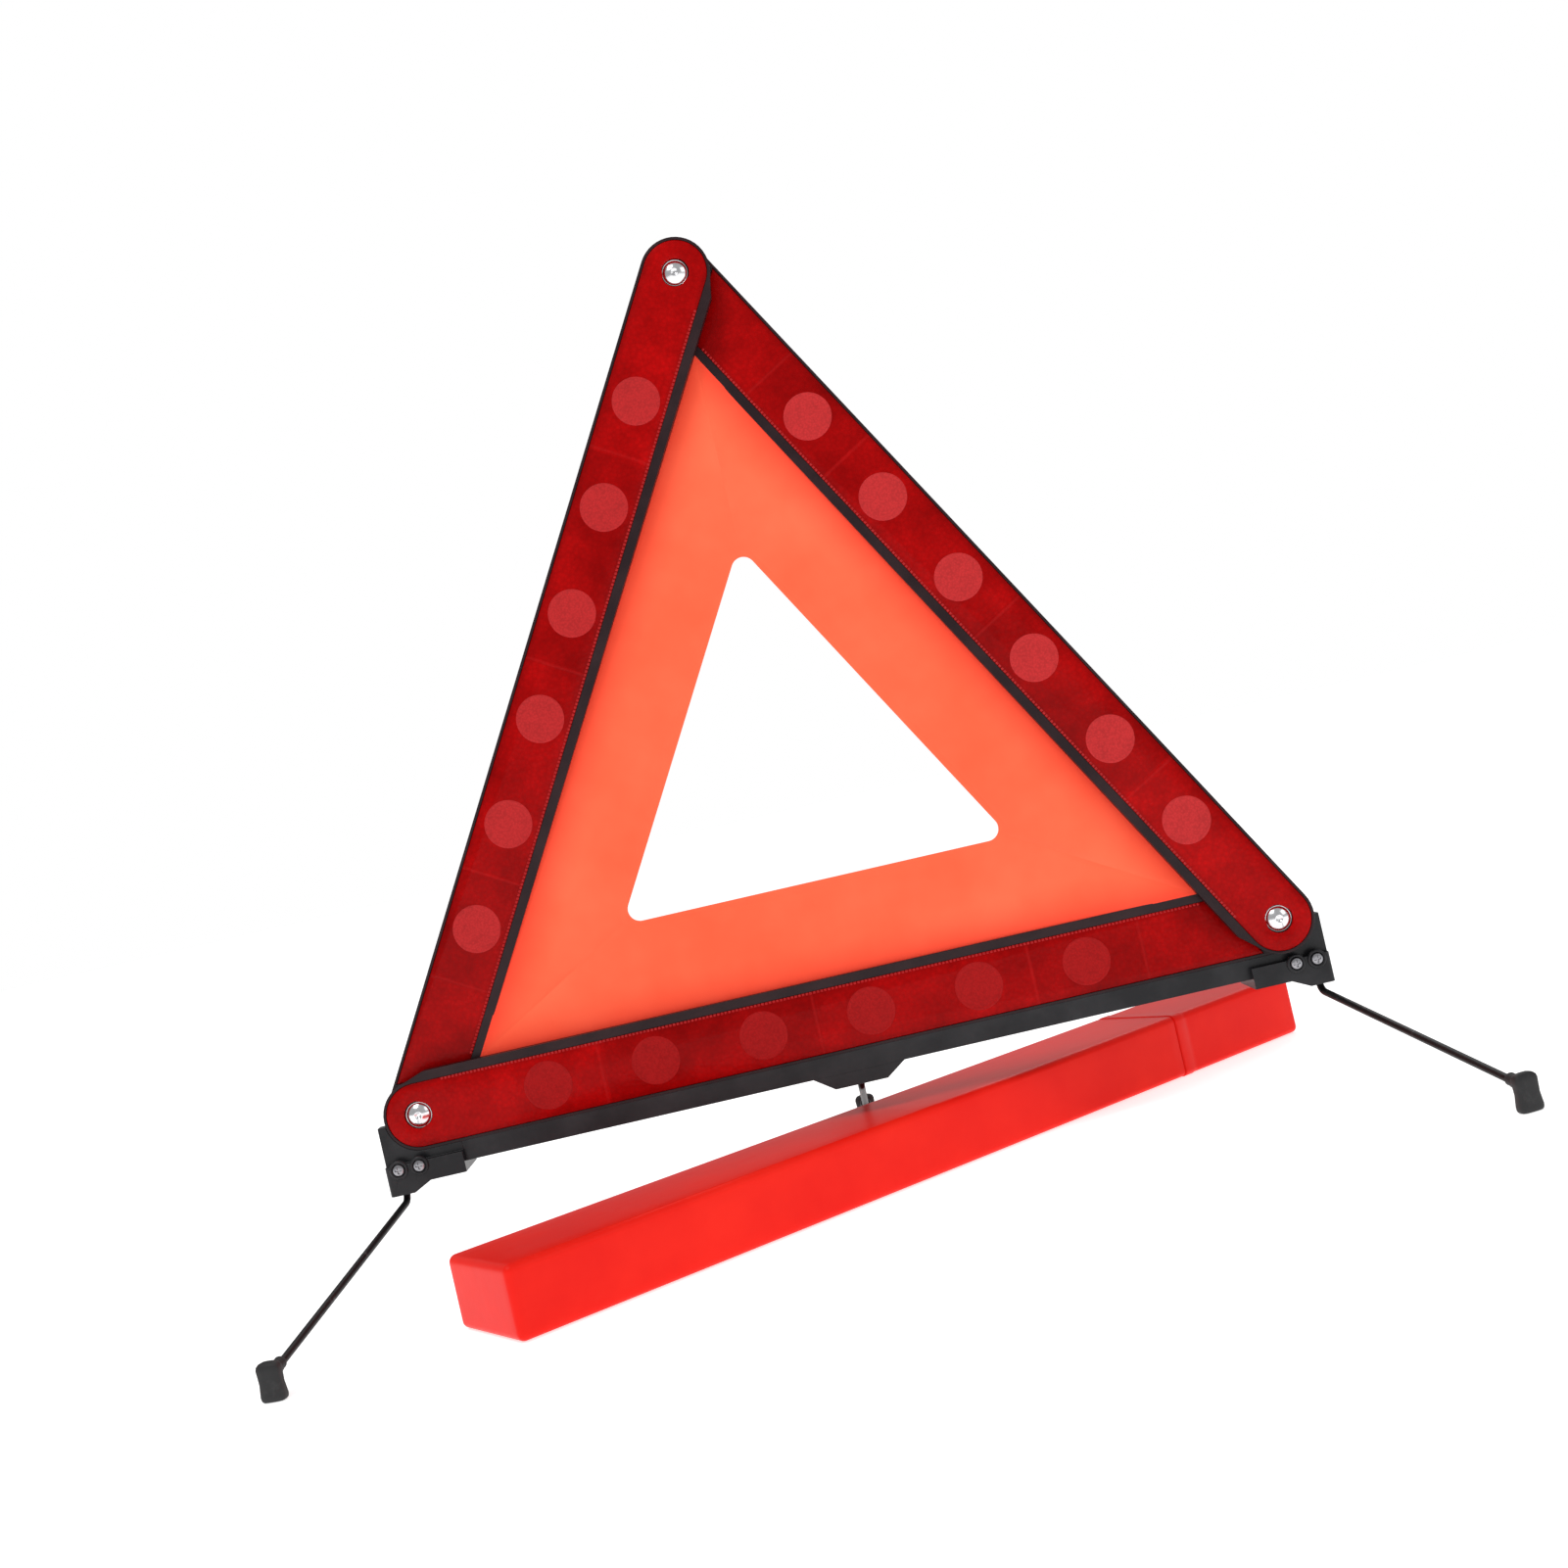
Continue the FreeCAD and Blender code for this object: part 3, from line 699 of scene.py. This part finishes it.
@dataclass(frozen=True)
class Strip:
    """An arm's red reflecting strip, its discs and the welded bead along its inner edge."""

    ring: Ring
    arm: Arm
    half: float = 14.4
    front: float = -2.8
    back: float = -0.8
    bore: float = 6.3
    disc_first: float = 60.0
    disc_pitch: float = 49.6
    disc_count: int = 6
    disc_radius: float = 10.9
    disc_proud: float = 0.14
    tooth_pitch: float = 1.7
    tooth_high: float = 0.42

    @cached_property
    def place(self) -> Place:
        """The arm's place."""
        return self.ring.arm(self.arm)

    def reach(self, inset: float) -> float:
        """How far the strip runs on the rivet line before the slanted cut along the next arm."""
        return self.ring.span - (self.half + 0.1) / math.sin(math.tau / 6) - 0.2 - 2 * inset

    def outline(self, inset: float, depth: float, arc: int = 40, run: int = 24) -> Array:
        """The strip's outline, drawn in by inset: a half circle about the front rivet, then straight sides.

        The far end slants at 60 degrees, so a point at height z on it lies at reach - z / tan 60.
        """
        half = self.half - inset
        turn = np.linspace(math.pi / 2, 3 * math.pi / 2, arc)
        share = np.linspace(0, 1, run, endpoint=False)[1:, None]
        slant = half / math.tan(math.tau / 6)
        low, high = np.array([self.reach(inset) + slant, -half]), np.array([self.reach(inset) - slant, half])
        under, over = np.array([0.0, -half]), np.array([0.0, half])
        line = np.vstack([half * np.stack([np.cos(turn), np.sin(turn)], -1), under + (low - under) * share, low,
                          low + (high - low) * share, high, high + (over - high) * share])
        return np.stack([line[:, 0], np.full(len(line), depth), line[:, 1]], -1)

    def circle(self, radius: float, depth: float) -> Array:
        """The bore round the rivet's head: each point lies on the ray to the outline's own point."""
        ray = self.outline(0.0, 0.0)[:, (0, 2)]
        ray = radius * ray / np.linalg.norm(ray, axis=1, keepdims=True)
        return np.stack([ray[:, 0], np.full(len(ray), depth), ray[:, 1]], -1)

    def lens(self) -> Piece:
        """The strip: rings from its back edge over a rounded rim to the bore, closed on themselves."""
        face = self.front
        rings = [self.outline(0, self.back), self.outline(0, face + 0.45), self.outline(0.13, face + 0.13),
                 self.outline(0.45, face), self.circle(self.bore + 0.4, face),
                 self.circle(self.bore + 0.1, face + 0.1), self.circle(self.bore, face + 0.4),
                 self.circle(self.bore, self.back)]
        return Solid().loft(self.place.points(np.array(rings)), True).piece(f"{self.arm.label}_reflector", 50)

    def discs(self) -> Piece:
        """Six flat coins with a rounded rim, each turned about its own axis."""
        face, radius = self.front - self.disc_proud, self.disc_radius
        profile = np.array([(0, face + 0.5), (radius, face + 0.5), (radius, face + 0.1), (radius - 0.05, face + 0.04),
                            (radius - 0.2, face), (radius - 1.1, face), (radius - 1.3, face + 0.06),
                            (radius - 1.5, face + 0.06), (0, face + 0.03)])
        solid = Solid()
        for k in range(self.disc_count):
            at = self.place.points(np.array([self.disc_first + k * self.disc_pitch, 0.0, 0.0]))
            solid.loft(turned_rings(Place(at, self.place.axes), profile, 64))
        return solid.piece(f"{self.arm.label}_reflex_discs", 40)

    def bead(self) -> Piece:
        """A row of small pyramids along the strip's inner edge, where it is welded to its channel."""
        first, last = 14.0, self.reach(0) - self.half
        along = np.arange(first, last, self.tooth_pitch)
        side, top, bottom = 0.6, self.half - 0.1, self.half - 1.3
        lift = self.front - self.tooth_high
        seat = self.front + 0.05
        base = np.array([(-side, seat, bottom), (side, seat, bottom), (side, seat, top), (-side, seat, top)])
        peak = np.tile(np.array([0.0, lift, (top + bottom) / 2]), (4, 1))
        shape = np.stack([base.mean(0) + 0 * base, base, peak])
        solid = Solid()
        for x in along:
            solid.loft(self.place.points(shape + np.array([x, 0.0, 0.0])))
        return solid.piece(f"{self.arm.label}_weld_bead", 20)

    def make(self) -> None:
        """Build and dress the strip, its discs and its bead."""
        # Painted light: the discs are alike on every arm, but each arm's are painted as bright as they catch the
        # lamps.
        painted_light = {Arm.BOTTOM: 0.12, Arm.RIGHT: 0.95, Arm.LEFT: 0.7}[self.arm]
        label, body = self.arm.label, self.arm.body
        lens, discs, bead = self.lens(), self.discs(), self.bead()
        acrylic = ReflectorRed(f"{label}_acrylic", self.place).make()
        prisms = ReflexDisc(f"{label}_prisms", self.place, painted_light).make()
        # Painted light: the bead is painted at a middle brightness.
        welded = ReflexDisc(f"{label}_bead_red", self.place, 0.55).make()
        fit(lens, body, acrylic, f"{label}_arm_lens")
        fit(discs, body, prisms, f"{label}_arm_discs")
        fit(bead, body, welded)


@dataclass(frozen=True)
class Cloth:
    """One third of the fluorescent sheet, sewn to an arm and mitred against its neighbours."""

    ring: Ring
    arm: Arm
    outer_edge: float = 18.3
    hole_edge: float = 62.3
    corner_radius: float = 5.5
    thick: float = 0.4
    hem: float = 3.2
    hem_proud: float = 0.22
    columns: int = 180
    rows: int = 56
    folded_share: float = 0.12

    @cached_property
    def outer(self) -> float:
        """The sewn edge's distance from the centre."""
        return self.ring.inradius - self.outer_edge

    @cached_property
    def inner(self) -> float:
        """The opening's distance from the centre."""
        return self.ring.inradius - self.hole_edge

    def opening(self, share: Array) -> Array:
        """The opening's edge below the centre, from mitre to mitre, at shares 0 to 1 of its length.

        It is a straight run between two arcs of 60 degrees about the rounded corners' centres.
        """
        radius, core = self.corner_radius, self.inner - self.corner_radius
        arc, half = radius * math.tau / 6, core * math.sqrt(3)
        run = (share - 0.5) * 2 * (half + arc)
        turn = np.clip(np.abs(run) - half, 0, arc) / radius
        x = np.sign(run) * (np.minimum(np.abs(run), half) + radius * np.sin(turn))
        return np.stack([x, -core - radius * np.cos(turn)], -1)

    def surface(self) -> Array:
        """The cloth's middle surface, as rows by columns of local points.

        Each column runs straight from the sewn edge to the opening. The cloth lies in the mean plane but for
        shallow waves that die out at its edges, a hem that is turned over at the opening, and a mitre crease.
        """
        share = np.linspace(0, 1, self.columns)
        across = np.linspace(0, 1, self.rows) ** 0.8
        hole = self.opening(share)
        sewn = np.stack([(share - 0.5) * 2 * self.outer * math.sqrt(3), np.full_like(share, -self.outer)], -1)
        flat = sewn + (hole - sewn) * across[:, None, None]
        x, z = flat[..., 0], flat[..., 1]
        held = np.sin(math.pi * across)[:, None]
        phase = self.arm.thirds * 2.1
        wave = 0.55 * np.sin(x / 27.0 + z / 15.0 + phase) + 0.35 * np.sin(x / 11.0 - z / 22.0 + 2 * phase)
        ends = np.minimum(share, 1 - share) * 2 * self.outer * math.sqrt(3)
        wave *= held * np.clip(ends / 26.0, 0, 1)
        crease = 0.35 * np.exp(-((ends / 1.6) ** 2)) * held
        return np.stack([x, wave + crease, z], -1)

    def make(self) -> None:
        """Build the cloth with its hem, and dress it."""
        middle = self.surface()
        depth = self.outer - self.inner
        from_hole = np.linalg.norm(middle - middle[-1:], axis=-1)
        half = self.thick / 2 + self.hem_proud * (1 / (1 + np.exp((from_hole - self.hem) / 0.18)))
        face, back = middle.copy(), middle.copy()
        face[..., 1] -= half
        back[..., 1] += half
        rings = np.concatenate([face, back[:, ::-1]], axis=1)
        place = self.ring.panel(self.arm)
        ends = (rings[:1] + rings[:1, ::-1]) / 2, (rings[-1:] + rings[-1:, ::-1]) / 2
        points = place.points(np.concatenate([ends[0], rings, ends[1]]))
        made = Solid().loft(points).piece(f"{self.arm.label}_cloth", 60)
        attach(made, self.arm.body)
        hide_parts(f"panel_{self.arm.label}")
        area = math.sqrt(3) * (self.outer**2 - self.inner**2) * MM * MM
        flat = (2 * self.outer * math.sqrt(3) * MM, depth * MM)
        anchor = place.points(np.array([0.0, 0.0, -self.outer]))
        local = Place(anchor, place.axes)
        dress(made, FluorescentCloth(f"{self.arm.label}_fluorescent", local, depth).make())
        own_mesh(made)


@dataclass(frozen=True)
class Rivets:
    """The two tubular rivets and the catch stud, all with the same dimpled head."""

    ring: Ring
    joints: dict[str, dict[str, Any]]
    head_radius: float = 5.8
    head_high: float = 2.8
    seat: float = -4.8
    dimple: float = 0.9
    dimple_radius: float = 1.25
    shank: float = 2.4
    tail_radius: float = 4.5
    tail_start: float = 5.35
    tail_thick: float = 1.1
    stud_end: float = -0.7

    def profile(self, tail: bool) -> Array:
        """Half the section as (radius, depth): a dome with a dimple, the shank, and a flared tail if it has one.

        The dome is an arc of the sphere through the head's rim and top. The dimple takes away a bell curve.
        """
        ball = (self.head_radius**2 + self.head_high**2) / (2 * self.head_high)
        r = np.linspace(0, self.head_radius - 0.25, 40)
        top = self.seat - self.head_high
        dome = top + ball - np.sqrt(ball**2 - r**2) + self.dimple * np.exp(-((r / self.dimple_radius) ** 4))
        rim = [(self.head_radius - 0.05, self.seat - 0.35), (self.head_radius, self.seat - 0.2),
               (self.head_radius - 0.1, self.seat), (self.shank, self.seat)]
        end = self.tail_start if tail else self.stud_end
        rest = [(self.shank, end)]
        if tail:
            far = end + self.tail_thick
            rest += [(self.tail_radius - 0.2, end), (self.tail_radius, end + 0.2), (self.tail_radius, far - 0.3),
                     (self.tail_radius - 0.3, far), (1.6, far), (1.3, far - 0.4), (1.3, far - 3.0)]
        rest.append((0.0, rest[-1][1]))
        return np.vstack([np.stack([r, dome], -1), rim, rest])

    def make(self, material: Material) -> None:
        """Build and dress all three."""
        left, top = self.joints["left_arm_fold"], self.joints["right_arm_swing"]
        catch = self.ring.corner(Arm.RIGHT, Arm.BOTTOM)
        rows = [("rivet_left", along_axis(left["pos_m"], left["axis"]), "base", True),
                ("rivet_top", along_axis(top["pos_m"], top["axis"]), "left_arm", True),
                ("catch_stud", along_axis(catch, self.ring.arm(Arm.RIGHT).axes[1]), "right_arm", False)]
        for node, place, body, tail in rows:
            made = Solid().loft(turned_rings(place, self.profile(tail), 72)).piece(node + "_turned", 40)
            fit(made, body, material, node)


# ---- the base bar and legs


@dataclass(frozen=True)
class Screws:
    """The pan-head screws in the end blocks, with a cross recess."""

    radius: float = 2.6
    high: float = 1.6
    length: float = 2.5
    slot_half: float = 0.38
    slot_reach: float = 1.6
    slot_deep: float = 0.7
    boss_radius: float = 4.3
    boss_proud: float = 1.0

    def rings(self, place: Place) -> Array:
        """A domed head and its shank. Where a point lies within the cross, it sinks by the slot's depth."""
        r = np.concatenate([np.linspace(0, self.radius - 0.3, 26), [self.radius - 0.08, self.radius, self.radius]])
        depth = -self.high + 0.45 * (r / self.radius) ** 3
        depth[-3:] = (-self.high + 0.62, -self.high + 0.95, 0.0)
        angle = np.arange(96) / 96 * math.tau
        x, z = r[:, None] * np.cos(angle), r[:, None] * np.sin(angle)
        cross = np.minimum(np.abs(x), np.abs(z)) < self.slot_half
        sunk = self.slot_deep * (cross & (r[:, None] < self.slot_reach))
        head = np.stack([x, depth[:, None] + sunk, z], -1)
        shank = turned_rings(place, np.array([(1.15, 0.0), (1.15, self.length), (0.0, self.length)]), 96)
        return np.concatenate([place.points(head), shank])

    def boss(self, place: Place) -> Array:
        """The moulded collar that a screw's head sits in: a rounded ring that stands out from the block."""
        turn = np.linspace(0, math.pi, 14)
        middle, half = (self.boss_radius + self.radius + 0.1) / 2, (self.boss_radius - self.radius - 0.1) / 2
        profile = np.stack([middle - half * np.cos(turn), -self.boss_proud * np.sin(turn)], -1)
        return turned_rings(place, np.vstack([profile, [(self.boss_radius, 0.3), (self.radius + 0.1, 0.3)]]), 64)

    def make(self, side: Side, material: Material, moulding: Material) -> None:
        """Build and dress the two screws of one end and the collars round them."""
        node = f"end_screws_{side.value}"
        low, high = (np.array(corner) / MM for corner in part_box(node))
        solid, collars = Solid(), Solid()
        for x in (low[0] + self.radius, high[0] - self.radius):
            at = np.array([x, low[1] + self.high, (low[2] + high[2]) / 2]) * MM
            solid.loft(self.rings(Place(at, np.eye(3))))
            collars.loft(self.boss(Place(at, np.eye(3))), True)
        fit(collars.piece(f"screw_collars_{side.value}", 50), "base", moulding)
        fit(solid.piece(node + "_cross", 30), "base", material, node)


@dataclass(frozen=True)
class Leg:
    """A wire leg: the wire's own skin smoothed, a waisted rubber foot and the collar that grips the wire."""

    node: str
    body: str
    joint: dict[str, Any]
    foot_long: float = 6.0
    foot_wide: float = 10.5
    roundness: float = 3.4
    wire_radius: float = 1.6
    wire_back: float = 0.6
    wire_high: float = 9.5
    collar_long: float = 9.0
    sections: tuple[tuple[float, float], ...] = (
        (0.0, 0.0), (0.0, 0.84), (0.025, 0.93), (0.07, 0.98), (0.14, 1.0), (0.45, 0.9), (0.7, 0.93), (0.82, 0.95),
        (0.9, 0.88), (0.96, 0.7), (0.99, 0.42), (1.0, 0.0))

    @cached_property
    def swivel(self) -> Array:
        """Where the leg turns, in metres."""
        return np.array(self.joint["pos_m"], float)

    @cached_property
    def corners(self) -> tuple[Array, Array]:
        """The foot's box, in metres."""
        low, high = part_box(f"{self.node}_foot")
        return np.array(low), np.array(high)

    def foot(self) -> Piece:
        """Superellipse sections |x/a|^n + |y/b|^n = 1, stacked up the foot, each with its own share of the width."""
        low, high = self.corners
        middle = (low + high) / 2
        out = (middle - self.swivel) * np.array([1.0, 1.0, 0.0])
        out /= np.linalg.norm(out)
        place = Place(np.array([middle[0], middle[1], low[2]]), np.array([out, np.cross([0, 0, 1], out), [0, 0, 1]]))
        angle = np.arange(56) / 56 * math.tau
        power = 2 / self.roundness
        x = np.sign(np.cos(angle)) * np.abs(np.cos(angle)) ** power * self.foot_long / 2
        y = np.sign(np.sin(angle)) * np.abs(np.sin(angle)) ** power * self.foot_wide / 2
        height = (high[2] - low[2]) / MM
        rings = [np.stack([x * share, y * share, np.full_like(x, up * height)], -1) for up, share in self.sections]
        solid = Solid().loft(place.points(np.array(rings)))
        end = middle - out * self.wire_back * MM
        end[2] = low[2] + self.wire_high * MM
        solid.loft(self.collar(end))
        return solid.piece(f"{self.node}_pad", 45)

    def collar(self, end: Array) -> Array:
        """A tapered sleeve up the wire from the foot, with a ring at its mouth, turned about the wire."""
        place = along_axis(end, self.swivel - end)
        bore, long = self.wire_radius + 0.05, self.collar_long
        profile = np.array([(bore, 0.0), (3.1, 0.0), (2.9, 0.5 * long), (2.5, 0.8 * long), (2.6, 0.86 * long),
                            (2.6, 0.95 * long), (2.4, long), (bore, long), (bore, 0.0)])
        return turned_rings(place, profile, 40)

    def make(self, wire: Material, rubber: Material) -> None:
        """Build and dress the leg."""
        dress(softened(f"{self.node}_wire", 0.0, angle=50.0), wire)
        fit(self.foot(), self.body, rubber, f"{self.node}_foot")


# ---- the case


@dataclass(frozen=True)
class Case:
    """The red storage case: a long sleeve, closed at one end, and the cap that plugs its mouth."""

    slide_axis: tuple[float, float, float]
    long: float = 455.0
    wide: float = 54.0
    high: float = 30.0
    wall: float = 1.8
    cap: float = 86.0
    spigot: float = 14.0
    edge: float = 3.2
    seam: float = 0.4
    lip: float = 6.0
    lip_proud: float = 0.3
    inner_edge: float = 1.2
    spigot_clear: float = 0.1
    spigot_thick: float = 1.4
    spigot_root: float = 7.6

    @cached_property
    def place(self) -> Place:
        """The case's corner, x along it. Its rounded corners stop short of the box by edge (cos + sin - 1)."""
        low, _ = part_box("case_sleeve")
        x = np.array(self.slide_axis, float)
        y = np.array([-x[1], x[0], 0.0])
        short = self.edge * (x[0] + x[1] - 1)
        corner = [low.x + (self.wide * x[1] - short) * MM, low.y - short * MM, low.z]
        return Place(np.array(corner), np.array([x, y, [0.0, 0.0, 1.0]]))

    def ring(self, x: float, inset: float) -> Array:
        """The section at x, drawn in by inset."""
        radius = max(self.edge - inset, self.inner_edge)
        flat = rounded_box_ring(self.wide - 2 * inset, self.high - 2 * inset, radius)
        flat = flat + np.array([self.wide / 2, self.high / 2])
        return np.concatenate([np.full((len(flat), 1), x), flat], axis=1)

    def end(self, x: float, inward: int, inset: float, radius: float) -> list[Array]:
        """Rings that close an end: from its middle over a flat face and a quarter-round edge.

        Args:
            x: where the end's face lies.
            inward: 1 where the case lies at greater x, else -1.
            inset: how far the side wall lies in from the outer skin.
            radius: the edge's radius.

        Returns:
            The rings, the middle first.
        """
        face = self.ring(x, inset + radius)
        middle = face.mean(0)
        rings = [middle + (face - middle) * share for share in (0.0, 0.35, 0.7, 0.88)]
        for turn in np.linspace(0, math.pi / 2, 8):
            rings.append(self.ring(x + inward * radius * (1 - math.cos(turn)), inset + radius * (1 - math.sin(turn))))
        return rings

    def sleeve(self) -> Piece:
        """The sleeve's outer skin to its mouth, round the mouth's edge and back along the inner skin."""
        mouth = self.long - self.cap
        rings = self.end(0.0, 1, 0.0, self.edge)
        rings += [self.ring(x, 0.0) for x in np.linspace(12.0, mouth - 6.0, 24)]
        rings += [self.ring(mouth - 0.5, 0.0), self.ring(mouth - 0.12, 0.12), self.ring(mouth, 0.5),
                  self.ring(mouth, self.wall)]
        rings += self.end(self.wall, 1, self.wall, self.inner_edge)[::-1]
        return self.shell(rings, "case_sleeve")

    def plug(self) -> Piece:
        """The cap: its outer skin with a raised lip, the spigot's two skins and the inner skin."""
        start = self.long - self.cap + self.seam
        tip = self.long - self.cap - self.spigot
        out, root = self.wall + self.spigot_clear, start + self.spigot_root
        inside = out + self.spigot_thick
        rings = self.end(self.long, -1, 0.0, self.edge)
        rings += [self.ring(x, 0.0) for x in np.linspace(self.long - 12.0, start + self.lip + 3.0, 8)]
        rings += [self.ring(start + self.lip + 0.5, 0.0), self.ring(start + self.lip, -self.lip_proud),
                  self.ring(start + 0.5, -self.lip_proud), self.ring(start + 0.12, 0.1), self.ring(start, 0.5),
                  self.ring(start, out), self.ring(tip + 0.4, out), self.ring(tip, out + 0.4),
                  self.ring(tip, inside), self.ring(root, inside), self.ring(root, self.wall)]
        rings += self.end(self.long - self.wall, -1, self.wall, self.inner_edge)[::-1]
        return self.shell(rings, "case_cap")

    def shell(self, rings: list[Array], node: str) -> Piece:
        """Loft a shell's rings."""
        return Solid().loft(self.place.points(np.array(rings))).piece(node + "_shell", 40)

    def make(self) -> None:
        """Build and dress the sleeve and the cap."""
        fit(self.sleeve(), "base", CaseRed("sleeve_red", self.place).make(), "case_sleeve")
        fit(self.plug(), "case_cap", CaseRed("cap_red", self.place).make(), "case_cap")


# ---- the studio


@dataclass(frozen=True)
class Studio:
    """A pale floor, soft lights and the camera."""

    eye: tuple[float, float, float] = (-4.0, -850.0, 183.0)
    roll: float = 12.98
    lens: float = 43.31
    sensor: float = 36.0
    ambient: float = 0.42
    floor_glow: float = 0.66
    floor_reach: float = 12.0
    floor_drop: float = 0.3

    def camera(self) -> None:
        """A level camera that looks to the rear, rolled so that the base rises to the right."""
        data = bpy.data.cameras.new("camera")
        data.lens = self.lens
        data.sensor_width = self.sensor
        data.clip_start = 0.02
        made = placed("camera", data)
        turn = Matrix.Rotation(math.pi / 2, 4, "X") @ Matrix.Rotation(-math.radians(self.roll), 4, "Z")
        made.matrix_world = Matrix.Translation(Vector(self.eye) * MM) @ turn
        bpy.context.scene.camera = made

    def light(self, name: str, at: Point, size: float, power: float, aim: Point = (0.0, 0.0, 0.2)) -> None:
        """A square soft light at a point, aimed at another, in metres and watts."""
        data = bpy.data.lights.new(name, "AREA")
        data.size = size
        data.energy = power
        made = placed(name, data)
        made.location = at
        made.rotation_euler = (Vector(aim) - Vector(at)).to_track_quat("-Z", "Y").to_euler()

    def floor(self) -> None:
        """A wide pale floor, level with the feet."""
        mesh = bpy.data.meshes.new("floor")
        reach = self.floor_reach
        corners = [(-reach, -reach, 0), (reach, -reach, 0), (reach, reach, 0), (-reach, reach, 0)]
        mesh.from_pydata(corners, [], [(0, 1, 2, 3)])
        made = placed("floor", mesh)
        made.location.z = -self.floor_drop * MM
        shader = Shader("pale_floor")
        cloud = shader.noise(900.0, 2.0)
        tone = shader.mix(cloud, (0.86, 0.86, 0.86), (0.89, 0.89, 0.885))
        mesh.materials.append(shader.finish(Base_Color=tone, Roughness=0.85, Specular_IOR_Level=0.1,
                                            Emission_Color=(1.0, 1.0, 1.0), Emission_Strength=self.floor_glow))

    def make(self) -> None:
        """Set the studio up."""
        self.camera()
        self.floor()
        self.light("key", (-0.9, -1.1, 2.2), 1.0, 22.0)
        self.light("fill", (1.9, -1.2, 1.2), 1.2, 5.0)
        self.light("rim", (0.4, 1.5, 1.5), 1.2, 9.0)
        world = bpy.data.worlds.new("studio")
        world.use_nodes = True
        tree = world.node_tree
        seen, lit = tree.nodes["Background"], tree.nodes.new("ShaderNodeBackground")
        rays, blend = tree.nodes.new("ShaderNodeLightPath"), tree.nodes.new("ShaderNodeMixShader")
        for shader, level in ((seen, 1.0), (lit, self.ambient)):
            shader.inputs["Color"].default_value = (1.0, 1.0, 1.0, 1.0)
            shader.inputs["Strength"].default_value = level
        tree.links.new(rays.outputs["Is Camera Ray"], blend.inputs[0])
        tree.links.new(lit.outputs[0], blend.inputs[1])
        tree.links.new(seen.outputs[0], blend.inputs[2])
        tree.links.new(blend.outputs[0], tree.nodes["World Output"].inputs["Surface"])
        bpy.context.scene.world = world
        bpy.context.scene.view_settings.view_transform = "Standard"


def main() -> None:
    """Build every piece round the frame."""
    logging.basicConfig(level=logging.INFO, format="%(message)s")
    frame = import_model()
    joints = {joint["name"]: joint for joint in frame["joints"]}
    Studio().make()
    ring = Ring()
    frames = BlackMoulding("arm_black", (0.014, 0.004, 0.006), (0.03, 0.012, 0.014)).make()
    bar = BlackMoulding("bar_black", gloss=0.24).make()
    nylon, chrome = NYLON.make(), BrightMetal("rivet_plate").make()
    for arm in Arm:
        dress(softened(f"{arm.label}_arm_frame", 0.22), frames)
        Strip(ring, arm).make()
        Cloth(ring, arm).make()
    Rivets(ring, joints).make(chrome)
    for node in ("base_rail", "base_end_left", "base_end_right", "prop_bracket"):
        dress(softened(node, 0.5), bar)
    dress(softened("catch_socket", 0.15), nylon)
    zinc = BrightMetal("screw_zinc", (0.34, 0.34, 0.36), 0.24).make()
    for side in Side:
        Screws().make(side, zinc, bar)
    wire, rubber = WIRE.make(), RUBBER.make()
    for node, body in (("front_left", "front_left_leg"), ("front_right", "front_right_leg"),
                       ("rear_prop", "rear_prop")):
        Leg(node, body, joints[f"{body}_swivel"]).make(wire, rubber)
    Case(tuple(joints["case_cap_slide"]["axis"])).make()
    for node in ("washer_left", "washer_top", "leg_bush_left", "leg_bush_right", "leg_bush_rear"):
        dress(frame["nodes"][node], nylon)


if __name__ == "__main__":
    main()
